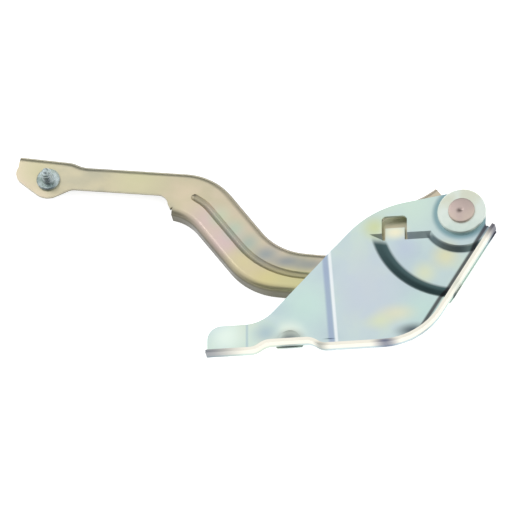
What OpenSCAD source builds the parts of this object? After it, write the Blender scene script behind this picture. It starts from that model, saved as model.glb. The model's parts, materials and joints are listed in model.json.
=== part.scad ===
// Hood hinge: a stamped body bracket and a gooseneck hood arm that turn on one shoulder rivet.
// The drawing plane of the sheet parts is X-Z. The viewer's side is -Y and the hood arm lies behind the bracket.
// The origin is the middle of the rear landing pad, on the underside of the bracket's lower lip.

/* [Bracket sheet] */
// Thickness of the bracket's steel sheet
bracket_t = 2.6; // [2.2:0.1:3.2]
// Outside radius of the bends between web and lip
bracket_bend_r = 4.6; // [4:0.2:6]
// Height of the lip, from the web's front face to the rim
lip_h = 10; // [9:0.5:14]

/* [Bracket outline] */
// Height of the pivot above the underside of the lip
pivot_height = 108; // [100:1:120]
// Distance from the pivot to the left end of the foot
foot_reach = 192; // [185:1:200]
// Height of the foot's tab above the underside
foot_h = 26; // [22:1:30]
// Radius of the upper corner of the foot
foot_corner_r = 11; // [6:1:14]
// Distance from the pivot to the corner between foot and sloping edge
slope_foot_x = 151; // [145:1:158]
// Fillet between foot and sloping edge
slope_foot_r = 30; // [20:1:40]
// Distance from the pivot to the shoulder corner, along X
shoulder_x = 68.5; // [62:1:75]
// Height of the shoulder corner above the pivot
shoulder_z = 7.5; // [5:0.5:10]
// Radius of the shoulder
shoulder_r = 73; // [50:1:80]
// Radius of the round end about the pivot
pivot_end_r = 17.5; // [17:0.5:19]
// Reach of the lip's upper end past the pivot
lip_end_x = 26; // [24:1:30]
// Drop of the lip's upper end below the pivot
lip_end_z = 16.5; // [14:0.5:20]
// Distance from the pivot to the corner where the lower lip turns upwards
heel_x = 30; // [26:1:36]
// Radius of that corner
heel_r = 52; // [40:1:60]

/* [Bracket step in the lower lip] */
// Rise of the lip between its two landing pads
step_h = 5.5; // [4:0.5:7]
// Distance from the pivot to the middle of the raised stretch
step_x = 130; // [126:1:134]
// Length of the raised stretch at its top
step_w = 33; // [30:1:38]
// Length of each ramp beside it
step_ramp = 8.5; // [7:0.5:10]
// Radius of the ramps' corners
step_r = 12; // [11:1:14]

/* [Bracket pressings] */
// Outer radius of the pressed sector, about the pivot
sector_r = 71; // [68:0.5:74]
// Width of the sloping wall along the sector's outer arc
sector_run = 9; // [5:0.5:10]
// Radius of the pad about the pivot
pad_r = 27; // [25:0.5:30]
// Depth of the pressed sector
sector_depth = 4; // [3:0.5:5]
// Drop of the sector's upper edge below the pivot
sector_top = 13.5; // [12:0.5:16]
// Distance from the pivot to the middle of the window
window_x = 51; // [49:0.5:53]
// Width of the window
window_w = 19; // [16:0.5:22]
// Height of the window's upper edge above the pivot
window_top = 0.5; // [0:0.5:2]
// Radius of the window's upper corners
window_r = 3.5; // [2:0.5:5]
// Clearance at each side of the window's tab
tab_gap = 2.2; // [1.5:0.1:3]
// Distance that the tab stands into the window
tab_h = 10; // [8:0.5:12]
// Radius of the pressed gusset in the lower bend
gusset_r = 9.5; // [8:0.5:11]
// Distance from the pivot to the soft crease in the web
crease_x = 100; // [98:1:104]
// Width of the crease
crease_w = 11; // [8:0.5:14]
// Height of the crease
crease_h = 0.9; // [0.5:0.1:1.2]

/* [Landing pads] */
// Distance from the pivot to the middle of the rear landing pad
rear_pad_x = 84; // [80:1:88]

/* [Arm sheet] */
// Thickness of the arm's steel sheet
arm_t = 3; // [2.6:0.1:3.4]
// Outside radius of the arm's bends
arm_bend_r = 5.5; // [5:0.5:7]
// Depth of the arm's lower flange, with the sheet
arm_lower_flange = 14; // [12:0.5:18]
// Depth of the arm's upper flange, with the sheet
arm_upper_flange = 11; // [9:0.5:14]
// Clearance between the back of the pressed sector and the arm
arm_gap = 0.8; // [0.6:0.1:1.5]

/* [Arm outline] */
// Distance from the pivot to the tip of the arm
arm_reach = 340; // [330:1:350]
// Distance from the tip of the arm to the stud, along X
stud_inset = 26.5; // [24:0.5:32]
// Height of the stud above the pivot
stud_z = 52; // [48:1:56]
// Radius of the arm's lobe round the stud
stud_lobe_r = 14; // [13:0.5:16]
// Radius of the swan-neck bends on the upper edge
neck_r = 50; // [40:1:55]
// Distance from the pivot to the upper corner of the neck, along X
neck_x = 188; // [182:1:194]
// Height of the neck's upper corner above the pivot
neck_z = 49; // [44:1:54]
// Distance from the pivot to the lower corner of the neck, along X
sag_x = 140; // [136:1:146]
// Drop of the neck's lower corner below the pivot
sag_z = 17; // [14:1:22]
// Width of the neck, measured square to its run
neck_w = 37; // [34:1:40]
// Width of the arm between the stud and the neck
strap_w = 20; // [18:1:22]
// Distance from the pivot to the notch under the neck, along X
notch_end_x = 221; // [217:1:226]
// Height of that notch's lower corner above the pivot
notch_end_z = 18.5; // [14:0.5:22]
// Reach of the upper flange's ear past the bracket's upper edge
ear_h = 26.5; // [24:0.5:29]
// Radius of the arm's round end behind the pivot
arm_end_r = 17; // [16:0.5:17.5]
// Radius of the bead's section
bead_r = 3.2; // [2.8:0.1:3.6]
// Depth of the bead in the front face
bead_depth = 1.8; // [1.4:0.1:2.2]
// Distance of the bead from the arm's upper edge
bead_inset = 20; // [18:0.5:22]
// Length of the bead's curved upper end
bead_hook = 10; // [8:1:14]
// Length of the bead past its lower bend
bead_run = 54; // [45:1:60]

/* [Pivot] */
// Radius of the rivet's shank
rivet_r = 6; // [5:0.5:7]
// Radius of the rivet's head
rivet_head_r = 10; // [9:0.5:11]
// Height of the rivet's head
rivet_head_h = 2.6; // [2:0.2:3.5]
// Radius of the large washer under the head
washer_r = 18.2; // [17:0.2:19]
// Thickness of the large washer
washer_t = 3; // [2:0.2:4]
// Thickness of the friction washer between bracket and arm
friction_t = 1; // [0.8:0.1:1.5]
// Wall of the flanged bush in the arm
bush_wall = 1.5; // [1.2:0.1:2]
// Radial running clearance of the rivet in the bush
run_gap = 0.05; // [0.02:0.01:0.09]
// Radial clearance of fixed round fits
seat_gap = 0.02; // [0.01:0.01:0.05]

/* [Hood stud] */
// Radius of the stud's threaded shank
stud_r = 4; // [3:0.5:5]
// Length of the stud in front of its collar
stud_len = 14; // [12:1:20]
// Radius of the stud's collar
collar_r = 8.8; // [8:0.2:10]
// Height of the stud's collar
collar_h = 2.4; // [2:0.2:3]

/* [Hidden] */
$fn = 64;
stud_x = arm_reach - stud_inset;
arc_step = 5;        // degrees between the points of an outline's arc
bend_steps = 4;      // flats across a bend
face_gap = 0.05;     // axial running gap between parts that turn against each other
strip = 4;           // width of flat web that belongs to a bent edge's section
overlap = 2;         // the flat web reaches this far into the strip
slant = sqrt(2);     // shift of a sheet's other face along the web, beside a 45 degree wall
relief = 1;          // set-back of the flat web at the end of a bend
lap = 0.15;          // set-back of a pressing's wall from the lip's faces
big = 200;

bracket_back = -bracket_t;
pan_back = -sector_depth - bracket_t;
arm_front = pan_back - arm_gap;
arm_back = arm_front - arm_t;
friction_back = bracket_back - friction_t;
boss_front = friction_back - face_gap;
boss_h = boss_front - arm_front;
bush_r = rivet_r + run_gap + bush_wall;
boss_r = bush_r + 2.5;
bush_flange_t = 1.2;
bush_back = boss_front - arm_t - bush_flange_t;
rear_washer_t = 2;
rear_washer_front = bush_back - face_gap;
rear_washer_back = rear_washer_front - rear_washer_t;
tail_h = 2.4;
pad_middle = (lip_h + bracket_bend_r - bracket_t) / 2;   // middle of the lip's flat underside

plated = [0.77, 0.82, 0.79];
passivated = [0.78, 0.73, 0.6];
rivet_steel = [0.7, 0.64, 0.6];
bronze = [0.66, 0.52, 0.3];
bright = [0.62, 0.65, 0.68];

// Lines and rounded outlines. Each vertex is [x, y, fillet radius].
function at(v) = [v[0], v[1]];
function heading(p, q) = atan2(q[1] - p[1], q[0] - p[0]);
function along(p, a, d) = [p[0] + d * cos(a), p[1] + d * sin(a)];
function turn(a, b) = let (d = b - a) d > 180 ? d - 360 : d < -180 ? d + 360 : d;
// Heading of the line from p that touches a circle of radius r about c, with the circle on its left for side 1
function touch(p, c, r, side) = heading(p, c) - side * asin(r / norm(c - p));
// Point where the line from p at heading a crosses the line from q at heading b
function meet(p, a, q, b) =
    along(p, a, ((q[0] - p[0]) * sin(b) - (q[1] - p[1]) * cos(b)) / sin(b - a));
// A fillet as [start, end, centre, angle turned, heading before it, radius]
function fillet(p, v, q) =
    let (a = heading(p, v), b = heading(v, q), k = turn(a, b), l = v[2] * abs(tan(k / 2)),
         start = along(v, a, -l))
    [start, along(v, b, l), along(start, a + 90 * sign(k), v[2]), k, a, v[2]];
function fillet_points(c) =
    let (n = max(1, ceil(abs(c[3]) / arc_step)))
    [for (i = [0:n]) along(c[2], c[4] - 90 * sign(c[3]) + c[3] * i / n, c[5])];
function rounded(v) =
    let (n = len(v),
         p = [for (i = [0:n - 1]) each v[i][2] == 0
             ? [at(v[i])] : fillet_points(fillet(v[(i + n - 1) % n], v[i], v[(i + 1) % n]))],
         m = len(p))
    [for (i = [0:m - 1]) if (norm(p[i] - p[(i + m - 1) % m]) > 0.02) p[i]];
function reversed(v) = [for (i = [len(v) - 1:-1:0]) v[i]];
// An open path moved d to its left, with its fillets still concentric
function shifted(v, d) =
    let (n = len(v))
    [for (i = [0:n - 1])
        let (a = heading(v[max(i - 1, 0)], v[max(i, 1)]),
             b = heading(v[min(i, n - 2)], v[min(i + 1, n - 1)]),
             p = along(v[i], a + 90, d), q = along(v[i], b + 90, d),
             m = a == b ? p : meet(p, a, q, b))
        [m[0], m[1], v[i][2] == 0 ? 0 : v[i][2] - sign(turn(a, b)) * d]];
// The same path with d taken off its first end and e off its last
function trimmed(v, d, e) =
    let (n = len(v), a = along(v[0], heading(v[0], v[1]), d), b = along(v[n - 1], heading(v[n - 2], v[n - 1]), -e))
    [for (i = [0:n - 1]) i == 0 ? [a[0], a[1], 0] : i == n - 1 ? [b[0], b[1], 0] : v[i]];

// Puts a drawing, whose height is towards the viewer, into the hinge's frame
module stand() {
    translate([rear_pad_x, pad_middle, pivot_height]) rotate([90, 0, 0]) children();
}

module slab(low, high) {
    translate([0, 0, low]) linear_extrude(high - low) children();
}

// A disc or ring about [x, y]
module ring(low, high, r, bore = 0, x = 0, y = 0) {
    translate([x, y, low]) difference() {
        cylinder(h = high - low, r = r);
        if (bore > 0) translate([0, 0, -1]) cylinder(h = high - low + 2, r = bore);
    }
}

// Stations [x, y, heading] along an open path of vertices
function stations(v) =
    let (n = len(v))
    concat([[v[0][0], v[0][1], heading(v[0], v[1])]],
        n < 3 ? [] : [for (i = [1:n - 2])
            let (c = fillet(v[i - 1], v[i], v[i + 1]), m = max(1, ceil(abs(c[3]) / arc_step)), p = fillet_points(c))
            each [for (j = [0:m]) [p[j][0], p[j][1], c[4] + c[3] * j / m]]],
        [[v[n - 1][0], v[n - 1][1], heading(v[n - 2], v[n - 1])]]);

// Sections along a path as one closed skin. Each ring lists points [left of the path, height].
module skin(path, rings, folded) {
    m = len(rings[0]);
    n = len(path);
    half = m / 2;
    points = [for (i = [0:n - 1]) each [for (q = rings[i])
        [path[i][0] - q[0] * sin(path[i][2]), path[i][1] + q[0] * cos(path[i][2]), q[1]]]];
    sides = [for (i = [0:n - 2]) each [for (j = [0:m - 1])
        [i * m + j, i * m + (j + 1) % m, (i + 1) * m + (j + 1) % m, (i + 1) * m + j]]];
    first = folded ? [for (j = [0:half - 2]) [m - 1 - j, m - 2 - j, j + 1, j]] : [[for (j = [m - 1:-1:0]) j]];
    last = [for (f = first) [for (j = [len(f) - 1:-1:0]) f[j] + (n - 1) * m]];
    polyhedron(points, concat(first, sides, last));
}

// A sheet's bent edge along a path: a strip of web from height 0 to side * t, the bend, and a lip of depth h
// that stands to the other side of height 0
module bent_edge(v, t, bend_r, h, side = 1) {
    bend = [for (i = [0:bend_steps]) 90 * i / bend_steps];
    outer = concat([[bend_r + strip, -t]], [for (b = bend) [bend_r * (1 - sin(b)), bend_r * (1 - cos(b)) - t]],
                   [[0, h]]);
    inner = concat([[bend_r + strip, 0]],
                   [for (b = bend) [bend_r - (bend_r - t) * sin(b), (bend_r - t) * (1 - cos(b))]], [[t, h]]);
    ring = [for (q = concat(outer, reversed(inner))) [q[0], side * q[1]]];
    path = stations(v);
    skin(path, [for (p = path) side > 0 ? ring : reversed(ring)], true);
}

// A round rod along a path at one height, with domed ends
module rod(v, r, height) {
    dome = [80, 60, 40, 20];
    path = stations(v);
    n = len(path);
    a = path[0];
    b = path[n - 1];
    route = concat([for (d = dome) [a[0] - r * sin(d) * cos(a[2]), a[1] - r * sin(d) * sin(a[2]), a[2]]], path,
                   [for (d = reversed(dome)) [b[0] + r * sin(d) * cos(b[2]), b[1] + r * sin(d) * sin(b[2]), b[2]]]);
    size = concat([for (d = dome) r * cos(d)], [for (p = path) r], [for (d = reversed(dome)) r * cos(d)]);
    skin(route, [for (s = size) [for (i = [0:15]) [s * cos(22.5 * i), height - s * sin(22.5 * i)]]], false);
}

// Body bracket
foot_base = -pivot_height;
foot_top = foot_base + foot_h;
step_half = step_w / 2;
step_base = foot_base + step_h;
lip_path = [
    [-foot_reach, foot_base, 0],
    [-step_x - step_half - step_ramp, foot_base, step_r],
    [-step_x - step_half, step_base, step_r],
    [-step_x + step_half, step_base, step_r],
    [-step_x + step_half + step_ramp, foot_base, step_r],
    [-heel_x, foot_base, heel_r],
    [lip_end_x, -lip_end_z, 0]
];
lip_end = at(lip_path[6]);
right_a = heading(lip_path[5], lip_path[6]);
shoulder = [-shoulder_x, shoulder_z];
web_inset = bracket_bend_r + overlap;
pivot_corner = meet(shoulder, touch(shoulder, [0, 0], pivot_end_r, -1), [pivot_end_r, 0], 90);
throat = meet(along(lip_end, right_a, -relief), right_a + 90, [pivot_end_r, 0], 90);
web_outline = rounded(concat(shifted(trimmed(lip_path, 0, relief), web_inset), [
    [throat[0], throat[1], 5],
    [pivot_corner[0], pivot_corner[1], pivot_end_r],
    [shoulder[0], shoulder[1], shoulder_r],
    [-slope_foot_x, foot_top, slope_foot_r],
    [-foot_reach, foot_top, foot_corner_r]
]));

// The pressed sector between two heights, all its walls moved outwards by the sheet thickness t.
// The outer wall slopes gently, the pad's wall and the upper one are at 45 degrees.
module sector(low, high, t) {
    slope = sector_run / sector_depth;
    outer = sector_r + t * norm([1, slope]);
    grow = t * norm([1, 1]);
    top = -sector_top + grow;
    intersection() {
        translate([0, 0, low]) difference() {
            cylinder(h = high - low, r1 = outer + slope * low, r2 = outer + slope * high);
            translate([0, 0, -1]) cylinder(h = high - low + 2, r1 = pad_r - low - grow + 1, r2 = pad_r - high - grow - 1);
        }
        rotate([90, 0, 90]) translate([0, 0, -big / 2]) linear_extrude(big)
            polygon([[-big, low - 1], [top + low - 1, low - 1], [top + high + 1, high + 1], [-big, high + 1]]);
    }
}

// Everything on the web's side of the right lip's face, over a floor, with a rounded corner
module right_of_lip(inset, floor, r) {
    span = 120;
    start = along(lip_end, right_a, -span - relief / 2);
    translate([start[0], start[1], 0]) rotate([90, 0, right_a + 90]) linear_extrude(span) {
        translate([inset + r, floor]) square([big, 2 * lip_h]);
        translate([inset, floor + r]) square([r + 1, 2 * lip_h - r]);
        translate([inset + r, floor + r]) circle(r);
    }
}

module web_pressings() {
    intersection() {
        sector(pan_back, bracket_back / 2, bracket_t);
        right_of_lip(lap, pan_back, bracket_bend_r);
    }
    intersection() {
        translate([-step_x, step_base + lip_h / 2, gusset_r / 2 - 1]) sphere(gusset_r + bracket_t);
        translate([-step_x - 20, step_base, -20]) cube([40, 30, 20 + bracket_back / 2]);
    }
    intersection() {
        slab(-bracket_t, crease_h) polygon(web_outline);
        rotate([90, 0, 0]) translate([0, 0, -big]) linear_extrude(big - step_base - bracket_bend_r - lap)
            polygon([[-crease_x - crease_w / 2, -0.5], [-crease_x + crease_w / 2, -0.5],
                     [-crease_x + crease_w / 2, 0], [-crease_x, crease_h], [-crease_x - crease_w / 2, 0]]);
    }
}

module bracket_cuts() {
    intersection() {
        sector(-sector_depth, bracket_bend_r, 0);
        right_of_lip(bracket_t + lap, -sector_depth, bracket_bend_r - bracket_t);
    }
    intersection() {
        translate([-step_x, step_base + lip_h / 2, gusset_r / 2 - 1]) sphere(gusset_r);
        translate([-step_x - 20, step_base + bracket_t, -20]) cube([40, 30, 23]);
    }
    window_low = -sector_top - sector_depth;
    slab(pan_back - 2, 2) polygon(rounded([
        [-window_x - window_w / 2, window_low, 0],
        [-window_x + window_w / 2, window_low, 0],
        [-window_x + window_w / 2, window_top, window_r],
        [-window_x - window_w / 2, window_top, window_r]
    ]));
    ring(-bracket_t - 1, 1, rivet_r + seat_gap);
}

module body_bracket() {
    tab_w = window_w - 2 * tab_gap;
    color(plated) stand() {
        difference() {
            union() {
                slab(-bracket_t, 0) polygon(web_outline);
                bent_edge(lip_path, bracket_t, bracket_bend_r, lip_h);
                web_pressings();
            }
            bracket_cuts();
        }
        translate([-window_x - tab_w / 2, -sector_top - sector_depth - 1, pan_back])
            cube([tab_w, tab_h + 1, bracket_t]);
    }
}

// Hood arm
tip = [-arm_reach + 5.5, stud_z + 22.5];
stud = [-stud_x, stud_z];
sag = [-sag_x, -sag_z];
elbow = [-94.5, -sag_z - 7.5];
ear = [-21.5, ear_h];
upper_path = [
    [tip[0], tip[1], 0],
    [-stud_x + 18.5, stud_z + 15, 20],
    [-stud_x + 26, stud_z + 10.8, 20],
    [-neck_x, neck_z, neck_r],
    [sag[0], sag[1], neck_r],
    [elbow[0], elbow[1], 30],
    [ear[0], ear[1], 0]
];
neck_a = heading(upper_path[3], upper_path[4]);
strap_a = heading(upper_path[2], upper_path[3]);
ear_a = heading(upper_path[5], upper_path[6]);
notch_end = [-notch_end_x, notch_end_z];
run_a = heading(sag, elbow);
lower_elbow = [elbow[0], elbow[1] - 34];
neck_low = along(sag, neck_a - 90, neck_w);
end_a = touch(lower_elbow, [0, 0], arm_end_r, 1);
flange_end = along(lower_elbow, end_a, 60);
l1 = meet(notch_end, -18, neck_low, neck_a);
l2 = meet(neck_low, neck_a, lower_elbow, run_a);
lower_path = [
    [notch_end[0], notch_end[1], 0],
    [l1[0], l1[1], 34],
    [l2[0], l2[1], 55],
    [lower_elbow[0], lower_elbow[1], 25],
    [flange_end[0], flange_end[1], 0]
];
arm_inset = arm_bend_r + overlap;
tip_low = [-arm_reach - 0.5, stud_z + 5];
strap_low = along(upper_path[3], strap_a - 90, strap_w);
lobe_in = meet([-stud_x + 17, 0], 90, strap_low, strap_a);
notch_top = meet([notch_end[0] - 2.5, 0], 90, strap_low, strap_a);
lobe_corner = meet(tip_low, touch(tip_low, stud, stud_lobe_r, 1),
                   lobe_in, touch(lobe_in, stud, stud_lobe_r, -1));
ear_low = along(along(ear, ear_a - 90, 14), ear_a, -relief);
edge_start = along(flange_end, end_a, 2 * relief);
end_low = meet(flange_end, end_a, [arm_end_r, 0], 90);
end_high = meet([arm_end_r, 0], 90, ear_low, touch(ear_low, [0, 0], arm_end_r, -1));
notch_low = along(notch_end, -18, -2 * relief);
arm_outline = rounded(concat(shifted(trimmed(lower_path, relief, relief), arm_inset), [
    [edge_start[0], edge_start[1], 0],
    [end_low[0], end_low[1], arm_end_r],
    [end_high[0], end_high[1], arm_end_r],
    [ear_low[0], ear_low[1], 0]
], shifted(trimmed(reversed(upper_path), relief, relief), arm_inset), [
    [tip_low[0], tip_low[1], 9],
    [lobe_corner[0], lobe_corner[1], stud_lobe_r],
    [lobe_in[0], lobe_in[1], 10],
    [notch_top[0], notch_top[1], 9],
    [notch_low[0], notch_low[1], 0]
]));
bead_line = shifted(upper_path, -bead_inset);
bead_bend = along(bead_line[3], neck_a, 8);
bead_start = along(bead_bend, neck_a + 17, -bead_hook);
bead_end = along(bead_line[4], run_a, bead_run);
bead_path = [[bead_start[0], bead_start[1], 0], [bead_bend[0], bead_bend[1], 30], bead_line[4],
             [bead_end[0], bead_end[1], 0]];

module bead(r) {
    rod(bead_path, r, arm_front + bead_r - bead_depth);
}

module hood_arm() {
    color(passivated) stand() difference() {
        union() {
            slab(arm_back, arm_front) polygon(arm_outline);
            translate([0, 0, arm_back]) {
                bent_edge(lower_path, arm_t, arm_bend_r, arm_lower_flange - arm_t, -1);
                bent_edge(reversed(upper_path), arm_t, arm_bend_r, arm_upper_flange - arm_t, -1);
            }
            translate([0, 0, arm_back + 1]) cylinder(h = boss_front - arm_back - 1,
                r1 = boss_r + boss_front - arm_back - 1, r2 = boss_r);
            intersection() {
                bead(bead_r + 0.8 * arm_t);
                slab(arm_back - 10, arm_back + 1) square(4 * big, center = true);
            }
        }
        bead(bead_r);
        translate([0, 0, arm_back - 1]) cylinder(h = boss_h + 1,
            r1 = boss_r + boss_h + arm_t * (1 - slant) + arm_t + 1, r2 = boss_r + arm_t * (2 - slant));
        ring(arm_back - 1, boss_front + 1, bush_r + seat_gap);
        ring(arm_back - 1, arm_front + 1, stud_seat_r + seat_gap, x = stud[0], y = stud[1]);
    }
}

// Pivot
module pivot_rivet() {
    color(rivet_steel) stand() {
        rotate_extrude() difference() {
            polygon(concat(
                [[0, rear_washer_back - tail_h], [rivet_r + 1.8, rear_washer_back - tail_h],
                 [rivet_r + 3, rear_washer_back - tail_h / 2], [rivet_r + 3, rear_washer_back],
                 [rivet_r, rear_washer_back], [rivet_r, washer_t], [rivet_head_r, washer_t]],
                [[rivet_head_r, washer_t + rivet_head_h - 1], [rivet_head_r - 1, washer_t + rivet_head_h],
                 [0, washer_t + rivet_head_h]]));
            translate([0, washer_t + rivet_head_h]) circle(rivet_r / 4);
        }
    }
}

module pivot_washer() {
    color(plated) stand() rotate_extrude() difference() {
        translate([rivet_r + seat_gap, 0]) square([washer_r - rivet_r - seat_gap, washer_t]);
        translate([washer_r, washer_t]) rotate(45) square(1.2, center = true);
    }
}

module friction_washer() {
    color(bronze) stand() ring(friction_back, bracket_back, boss_r - 0.5, bore = rivet_r + run_gap);
}

module pivot_bush() {
    color(bronze) stand() {
        ring(bush_back, boss_front - 0.1, bush_r, bore = rivet_r + run_gap);
        ring(bush_back, bush_back + bush_flange_t, bush_r + 2, bore = bush_r - 0.5);
    }
}

module rear_washer() {
    color(plated) stand() ring(rear_washer_back, rear_washer_front, rivet_r + 4, bore = rivet_r + seat_gap);
}

// Hood stud: head behind the arm, knurled seat in its hole, collar in front and a threaded end with a round point
stud_seat_r = stud_r + 0.8;
module hood_stud() {
    head_r = stud_r + 3;
    head_t = 2;
    base = arm_front + collar_h;
    tip_z = base + stud_len;
    color(bright) stand() translate([stud[0], stud[1], 0]) rotate_extrude() {
        polygon([[0, arm_back - head_t], [head_r, arm_back - head_t], [head_r, arm_back],
                 [stud_seat_r, arm_back], [stud_seat_r, arm_front], [collar_r, arm_front],
                 [collar_r, base - 0.8], [collar_r - 0.8, base], [stud_r + 0.8, base], [stud_r, base + 0.8],
                 [stud_r, tip_z - 4], [stud_r - 0.9, tip_z - 3.2], [stud_r - 0.9, tip_z - 2],
                 [stud_r - 1.7, tip_z - 0.6], [stud_r - 2.6, tip_z], [0, tip_z]]);
    }
}

body_bracket();
hood_arm();
pivot_rivet();
pivot_washer();
friction_washer();
pivot_bush();
rear_washer();
hood_stud();
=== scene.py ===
"""Finishes and fine pieces of a stamped hood hinge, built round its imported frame."""

import json
import logging
import math
from dataclasses import dataclass, field
from enum import Enum

import bmesh
import bpy
import numpy as np
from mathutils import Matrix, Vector


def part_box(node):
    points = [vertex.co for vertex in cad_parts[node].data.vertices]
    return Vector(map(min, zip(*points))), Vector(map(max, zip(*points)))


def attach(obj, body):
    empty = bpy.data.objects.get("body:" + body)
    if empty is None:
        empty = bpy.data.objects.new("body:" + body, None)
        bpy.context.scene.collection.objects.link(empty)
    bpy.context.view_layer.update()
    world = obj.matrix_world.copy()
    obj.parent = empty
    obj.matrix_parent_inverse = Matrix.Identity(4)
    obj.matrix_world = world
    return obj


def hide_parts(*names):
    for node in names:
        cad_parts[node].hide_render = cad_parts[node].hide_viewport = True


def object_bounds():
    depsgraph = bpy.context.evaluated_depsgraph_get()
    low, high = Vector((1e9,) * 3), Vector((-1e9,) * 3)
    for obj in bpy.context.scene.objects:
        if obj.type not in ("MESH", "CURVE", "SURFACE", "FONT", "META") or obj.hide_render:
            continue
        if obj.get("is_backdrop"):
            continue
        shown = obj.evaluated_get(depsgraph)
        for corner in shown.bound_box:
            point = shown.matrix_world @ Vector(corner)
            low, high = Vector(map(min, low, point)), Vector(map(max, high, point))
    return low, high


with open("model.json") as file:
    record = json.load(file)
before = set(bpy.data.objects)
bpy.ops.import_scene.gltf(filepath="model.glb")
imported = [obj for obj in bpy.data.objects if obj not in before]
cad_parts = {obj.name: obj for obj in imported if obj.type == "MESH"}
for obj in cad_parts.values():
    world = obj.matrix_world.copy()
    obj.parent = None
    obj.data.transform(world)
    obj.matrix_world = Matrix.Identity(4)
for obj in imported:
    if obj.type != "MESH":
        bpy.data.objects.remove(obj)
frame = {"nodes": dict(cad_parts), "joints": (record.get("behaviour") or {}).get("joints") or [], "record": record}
LOG = logging.getLogger("hood_hinge")
MM = 0.001

Vec3 = tuple[float, float, float]
Colour = tuple[float, float, float, float]
Socket = bpy.types.NodeSocket


class Body(Enum):
    """The two bodies that turn against each other."""

    BRACKET = "bracket"
    ARM = "arm"


class Slot(Enum):
    """The finishes that the record names."""

    PLATED = "plated"
    PASSIVATED = "passivated"
    RIVET = "rivet"
    WASHER = "washer"
    BRONZE = "bronze"
    STUD = "stud"


def shade(red: int, green: int, blue: int) -> Colour:
    """Turns a display colour into the linear colour that shaders use.

    Args:
        red: Red from 0 to 255.
        green: Green from 0 to 255.
        blue: Blue from 0 to 255.

    Returns:
        The linear colour with an alpha of 1.
    """
    share = np.array([red, green, blue]) / 255
    linear = np.where(share <= 0.04045, share / 12.92, ((share + 0.055) / 1.055) ** 2.4)
    return (float(linear[0]), float(linear[1]), float(linear[2]), 1.0)


PIVOT: Vec3 = tuple(frame["joints"][0]["pos_m"])
STUD_AXIS: Vec3 = tuple(next(m["pos_m"] for m in frame["record"]["mounts"] if m["name"] == "hood_stud"))


def from_pivot(x: float, height: float) -> Vec3:
    """Gives the point at x and height, in millimetres from the pivot, in the web's plane."""
    return (PIVOT[0] + x * MM, 0.0, PIVOT[2] + height * MM)


# Shader graphs


class Graph:
    """Adds nodes to one node tree and joins them."""

    def __init__(self, tree: bpy.types.NodeTree) -> None:
        """Keeps the tree that the nodes go into."""
        self.tree = tree

    def add(self, kind: str, inputs: dict | None = None, **settings: object) -> bpy.types.Node:
        """Adds a node.

        Args:
            kind: The node's type.
            inputs: Values or sockets for its inputs, by name or place.
            settings: The node's own properties.

        Returns:
            The new node.
        """
        node = self.tree.nodes.new(kind)
        for key, value in settings.items():
            setattr(node, key, value)
        for key, value in (inputs or {}).items():
            if isinstance(value, bpy.types.NodeSocket):
                self.tree.links.new(value, node.inputs[key])
            else:
                node.inputs[key].default_value = value
        return node

    def maths(self, operation: str, a: Socket | float, b: Socket | float = 0.0, clamp: bool = False) -> Socket:
        """Adds a Math node of two inputs and gives its output."""
        return self.add("ShaderNodeMath", {0: a, 1: b}, operation=operation, use_clamp=clamp).outputs[0]

    def step(self, value: Socket, low: Socket | float, high: Socket | float) -> Socket:
        """Gives a smooth step that is 0 at low and 1 at high."""
        inputs = {"Value": value, "From Min": low, "From Max": high}
        return self.add("ShaderNodeMapRange", inputs, interpolation_type="SMOOTHSTEP").outputs[0]

    def mix(self, share: Socket | float, a: Socket | Colour, b: Socket | Colour) -> Socket:
        """Mixes two colours and gives the result."""
        return self.add("ShaderNodeMix", {0: share, 6: a, 7: b}, data_type="RGBA").outputs[2]

    def ramp(self, value: Socket, stops: tuple[tuple[float, Colour], ...]) -> Socket:
        """Gives the colour of a ramp at a value."""
        node = self.add("ShaderNodeValToRGB", {0: value})
        ramp = node.color_ramp
        ramp.interpolation = "EASE"
        while len(ramp.elements) < len(stops):
            ramp.elements.new(0.5)
        for element, (place, colour) in zip(ramp.elements, stops):
            element.position = place
            element.color = colour
        return node.outputs[0]


def new_group(name: str, inputs: dict[str, str], outputs: dict[str, str]) -> tuple[bpy.types.NodeTree, Graph, Graph]:
    """Starts a shader node group.

    Args:
        name: The group's name.
        inputs: Socket types by input name.
        outputs: Socket types by output name.

    Returns:
        The tree, a graph for it, and its input and output nodes.
    """
    tree = bpy.data.node_groups.new(name, "ShaderNodeTree")
    for direction, sockets in (("INPUT", inputs), ("OUTPUT", outputs)):
        for socket, kind in sockets.items():
            tree.interface.new_socket(name=socket, in_out=direction, socket_type=kind)
    graph = Graph(tree)
    return tree, graph, graph.add("NodeGroupInput"), graph.add("NodeGroupOutput")


VECTOR = "NodeSocketVector"
FLOAT = "NodeSocketFloat"


def make_film_group() -> bpy.types.NodeTree:
    """Builds the film of passivation, whose thickness drifts in soft clouds.

    Its value is three parts of a wide noise and one part of a finer one, stretched to run from 0 to 1.
    """
    tree, graph, given, out = new_group(
        "PassivationFilm", {"Vector": VECTOR, "Size": FLOAT, "Stretch": VECTOR}, {"Film": FLOAT})
    share = graph.maths("DIVIDE", 1.0, given.outputs["Size"])
    place = graph.add("ShaderNodeVectorMath", {0: given.outputs["Vector"], 1: given.outputs["Stretch"]},
                      operation="MULTIPLY").outputs[0]
    place = graph.add("ShaderNodeVectorMath", {0: place, "Scale": share}, operation="SCALE").outputs[0]
    wide = graph.add("ShaderNodeTexNoise", {"Vector": place, "Scale": 1.0, "Detail": 2.0, "Distortion": 0.7})
    fine = graph.add("ShaderNodeTexNoise", {"Vector": place, "Scale": 3.7, "Detail": 3.0, "Distortion": 0.3})
    both = graph.maths("ADD", graph.maths("MULTIPLY", wide.outputs[0], 0.75),
                       graph.maths("MULTIPLY", fine.outputs[0], 0.25))
    graph.tree.links.new(graph.step(both, 0.3, 0.7), out.inputs["Film"])
    return tree


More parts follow.
